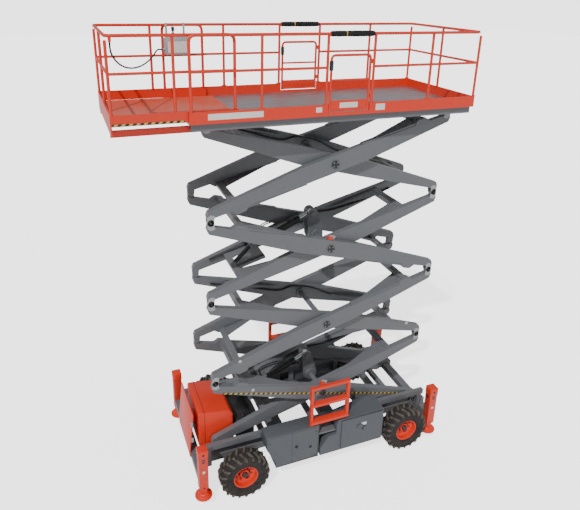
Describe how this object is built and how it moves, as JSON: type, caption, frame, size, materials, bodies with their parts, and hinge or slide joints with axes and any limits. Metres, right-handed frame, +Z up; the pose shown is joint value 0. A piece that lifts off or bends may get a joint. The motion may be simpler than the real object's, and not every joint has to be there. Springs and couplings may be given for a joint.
{
  "type": "scissor lift",
  "caption": "Rough-terrain scissor lift, half raised, with outriggers, front steering and a roll-out extension deck behind guardrails",
  "frame": {"origin": "middle of the bounding box in plan, on the ground under the tyres", "axes": "+X runs along the machine from the extension deck to the plain end, +Y to the far side, +Z up"},
  "size_m": [5.395, 2.34, 7.4385],
  "materials": {
    "orange_paint": "gloss enamel",
    "grey_paint": "semi-gloss enamel",
    "black_paint": "semi-gloss enamel",
    "tyre_rubber": "moulded",
    "deck_aluminium": "tread pattern",
    "chromed_rod": "polished",
    "cable_jacket": "smooth jacket"
  },
  "bodies": {
    "chassis": {"chassis_frame": "grey_paint", "front_axle": "grey_paint", "rear_axle": "grey_paint", "outrigger_front_near": "orange_paint", "outrigger_front_far": "orange_paint", "outrigger_rear_near": "orange_paint", "outrigger_rear_far": "orange_paint", "cabinet_front_near": "grey_paint", "cabinet_front_far": "grey_paint", "cabinet_rear_near": "grey_paint", "cabinet_rear_far": "grey_paint", "nose_hood": "orange_paint", "nose_plate": "orange_paint", "tank": "black_paint", "engine_block": "black_paint", "ladder_near": "orange_paint", "ladder_far": "orange_paint"},
    "inner_frame_1": {"inner_frame_1": "grey_paint"},
    "outer_frame_1": {"outer_frame_1": "grey_paint"},
    "inner_frame_2": {"inner_frame_2": "grey_paint"},
    "outer_frame_2": {"outer_frame_2": "grey_paint"},
    "inner_frame_3": {"inner_frame_3": "grey_paint"},
    "outer_frame_3": {"outer_frame_3": "grey_paint"},
    "inner_frame_4": {"inner_frame_4": "grey_paint"},
    "outer_frame_4": {"outer_frame_4": "grey_paint"},
    "lift_barrel_1": {"lift_barrel_1": "black_paint"},
    "lift_rod_1": {"lift_rod_1": "chromed_rod"},
    "lift_barrel_2": {"lift_barrel_2": "black_paint"},
    "lift_rod_2": {"lift_rod_2": "chromed_rod"},
    "platform": {"deck_underframe": "grey_paint", "deck_floor": "deck_aluminium", "deck_skirt": "orange_paint", "guardrail": "orange_paint"},
    "gate_near": {"gate_near": "orange_paint"},
    "gate_far": {"gate_far": "orange_paint"},
    "extension": {"extension_floor": "orange_paint", "extension_frame": "orange_paint", "extension_guardrail": "orange_paint", "control_box": "grey_paint", "cord": "cable_jacket"},
    "near_knuckle": {"near_knuckle": "grey_paint"},
    "far_knuckle": {"far_knuckle": "grey_paint"},
    "wheel_front_near": {"tyre_front_near": "tyre_rubber", "rim_front_near": "orange_paint"},
    "outrigger_leg_front_near": {"outrigger_leg_front_near": "orange_paint"},
    "wheel_front_far": {"tyre_front_far": "tyre_rubber", "rim_front_far": "orange_paint"},
    "outrigger_leg_front_far": {"outrigger_leg_front_far": "orange_paint"},
    "wheel_rear_near": {"tyre_rear_near": "tyre_rubber", "rim_rear_near": "orange_paint"},
    "outrigger_leg_rear_near": {"outrigger_leg_rear_near": "orange_paint"},
    "wheel_rear_far": {"tyre_rear_far": "tyre_rubber", "rim_rear_far": "orange_paint"},
    "outrigger_leg_rear_far": {"outrigger_leg_rear_far": "orange_paint"},
    "cabinet_door_near": {"cabinet_door_near": "grey_paint"},
    "cabinet_door_far": {"cabinet_door_far": "grey_paint"}
  },
  "joints": [
    {"name": "scissor_lift", "type": "hinge", "parent": "chassis", "child": "inner_frame_1", "pos_m": [-1.4375, 0, 0.65], "axis": [0, -1, 0], "range_deg": [-11, 40.08]},
    {"name": "stage_1_centre", "type": "hinge", "parent": "inner_frame_1", "child": "outer_frame_1", "pos_m": [0.48045, 0, 1.34504], "axis": [0, -1, 0], "range_deg": [-80.66, 22.5]},
    {"name": "stage_1_to_2", "type": "hinge", "parent": "outer_frame_1", "child": "outer_frame_2", "pos_m": [-1.4375, 0, 2.04009], "axis": [0, -1, 0], "range_deg": [-22.5, 80.66]},
    {"name": "stage_2_centre", "type": "hinge", "parent": "outer_frame_2", "child": "inner_frame_2", "pos_m": [0.48045, 0, 2.73513], "axis": [0, -1, 0], "range_deg": [-80.66, 22.5]},
    {"name": "stage_2_to_3", "type": "hinge", "parent": "outer_frame_2", "child": "outer_frame_3", "pos_m": [2.39839, 0, 3.43018], "axis": [0, -1, 0], "range_deg": [-80.66, 22.5]},
    {"name": "stage_3_centre", "type": "hinge", "parent": "outer_frame_3", "child": "inner_frame_3", "pos_m": [0.48045, 0, 4.12522], "axis": [0, -1, 0], "range_deg": [-22.5, 80.66]},
    {"name": "stage_3_to_4", "type": "hinge", "parent": "outer_frame_3", "child": "outer_frame_4", "pos_m": [-1.4375, 0, 4.82026], "axis": [0, -1, 0], "range_deg": [-22.5, 80.66]},
    {"name": "stage_4_centre", "type": "hinge", "parent": "outer_frame_4", "child": "inner_frame_4", "pos_m": [0.48045, 0, 5.51531], "axis": [0, -1, 0], "range_deg": [-80.66, 22.5]},
    {"name": "platform_pivot", "type": "hinge", "parent": "inner_frame_4", "child": "platform", "pos_m": [-1.4375, 0, 6.21035], "axis": [0, -1, 0], "range_deg": [-11.5, 40.58]},
    {"name": "lift_barrel_1_pivot", "type": "hinge", "parent": "inner_frame_1", "child": "lift_barrel_1", "pos_m": [-0.58759, 0, 1.26827], "axis": [0, -1, 0], "range_deg": [-13.53, 3.93]},
    {"name": "lift_rod_1_slide", "type": "slide", "parent": "lift_barrel_1", "child": "lift_rod_1", "axis": [0.9122, 0, 0.4098], "range_m": [-0.109, 0.393]},
    {"name": "lift_barrel_2_pivot", "type": "hinge", "parent": "inner_frame_3", "child": "lift_barrel_2", "pos_m": [-0.58759, 0, 4.04844], "axis": [0, -1, 0], "range_deg": [-13.53, 3.93]},
    {"name": "lift_rod_2_slide", "type": "slide", "parent": "lift_barrel_2", "child": "lift_rod_2", "axis": [0.9122, 0, 0.4098], "range_m": [-0.109, 0.393]},
    {"name": "near_steering", "type": "hinge", "parent": "chassis", "child": "near_knuckle", "pos_m": [-1.0825, -0.88, 0.42], "axis": [0, 0, 1], "range_deg": [-25, 25]},
    {"name": "wheel_front_near_spin", "type": "hinge", "parent": "near_knuckle", "child": "wheel_front_near", "pos_m": [-1.0825, -1.0175, 0.42], "axis": [0, 1, 0], "continuous": true},
    {"name": "wheel_rear_near_spin", "type": "hinge", "parent": "chassis", "child": "wheel_rear_near", "pos_m": [1.9875, -1.0175, 0.42], "axis": [0, 1, 0], "continuous": true},
    {"name": "outrigger_front_near_slide", "type": "slide", "parent": "chassis", "child": "outrigger_leg_front_near", "axis": [0, 0, -1], "range_m": [0, 0.4]},
    {"name": "outrigger_rear_near_slide", "type": "slide", "parent": "chassis", "child": "outrigger_leg_rear_near", "axis": [0, 0, -1], "range_m": [0, 0.4]},
    {"name": "gate_near_hinge", "type": "hinge", "parent": "platform", "child": "gate_near", "pos_m": [0.8145, -0.915, 6.37015], "axis": [0, 0, -1], "range_deg": [0, 90]},
    {"name": "cabinet_door_near_hinge", "type": "hinge", "parent": "chassis", "child": "cabinet_door_near", "pos_m": [1.4875, -1.0854, 0.4], "axis": [0, 0, 1], "range_deg": [0, 90]},
    {"name": "far_steering", "type": "hinge", "parent": "chassis", "child": "far_knuckle", "pos_m": [-1.0825, 0.88, 0.42], "axis": [0, 0, 1], "range_deg": [-25, 25]},
    {"name": "wheel_front_far_spin", "type": "hinge", "parent": "far_knuckle", "child": "wheel_front_far", "pos_m": [-1.0825, 1.0175, 0.42], "axis": [0, 1, 0], "continuous": true},
    {"name": "wheel_rear_far_spin", "type": "hinge", "parent": "chassis", "child": "wheel_rear_far", "pos_m": [1.9875, 1.0175, 0.42], "axis": [0, 1, 0], "continuous": true},
    {"name": "outrigger_front_far_slide", "type": "slide", "parent": "chassis", "child": "outrigger_leg_front_far", "axis": [0, 0, -1], "range_m": [0, 0.4]},
    {"name": "outrigger_rear_far_slide", "type": "slide", "parent": "chassis", "child": "outrigger_leg_rear_far", "axis": [0, 0, -1], "range_m": [0, 0.4]},
    {"name": "gate_far_hinge", "type": "hinge", "parent": "platform", "child": "gate_far", "pos_m": [0.8145, 0.915, 6.37015], "axis": [0, 0, 1], "range_deg": [0, 90]},
    {"name": "cabinet_door_far_hinge", "type": "hinge", "parent": "chassis", "child": "cabinet_door_far", "pos_m": [1.4875, 1.0854, 0.4], "axis": [0, 0, -1], "range_deg": [0, 90]},
    {"name": "extension_slide", "type": "slide", "parent": "platform", "child": "extension", "axis": [-1, 0, 0], "range_m": [-0.93, 0.56]}
  ],
  "couplings": [
    {"joint": "stage_1_centre", "follows": "scissor_lift", "ratio": -2},
    {"joint": "stage_1_to_2", "follows": "scissor_lift", "ratio": 2},
    {"joint": "stage_2_centre", "follows": "scissor_lift", "ratio": -2},
    {"joint": "stage_2_to_3", "follows": "scissor_lift", "ratio": -2},
    {"joint": "stage_3_centre", "follows": "scissor_lift", "ratio": 2},
    {"joint": "stage_3_to_4", "follows": "scissor_lift", "ratio": 2},
    {"joint": "stage_4_centre", "follows": "scissor_lift", "ratio": -2},
    {"joint": "platform_pivot", "follows": "scissor_lift", "ratio": 1},
    {"joint": "lift_barrel_1_pivot", "follows": "scissor_lift", "ratio": -0.33},
    {"joint": "lift_rod_1_slide", "follows": "scissor_lift", "m_per_rad": 0.56},
    {"joint": "lift_barrel_2_pivot", "follows": "scissor_lift", "ratio": -0.33},
    {"joint": "lift_rod_2_slide", "follows": "scissor_lift", "m_per_rad": 0.56}
  ]
}
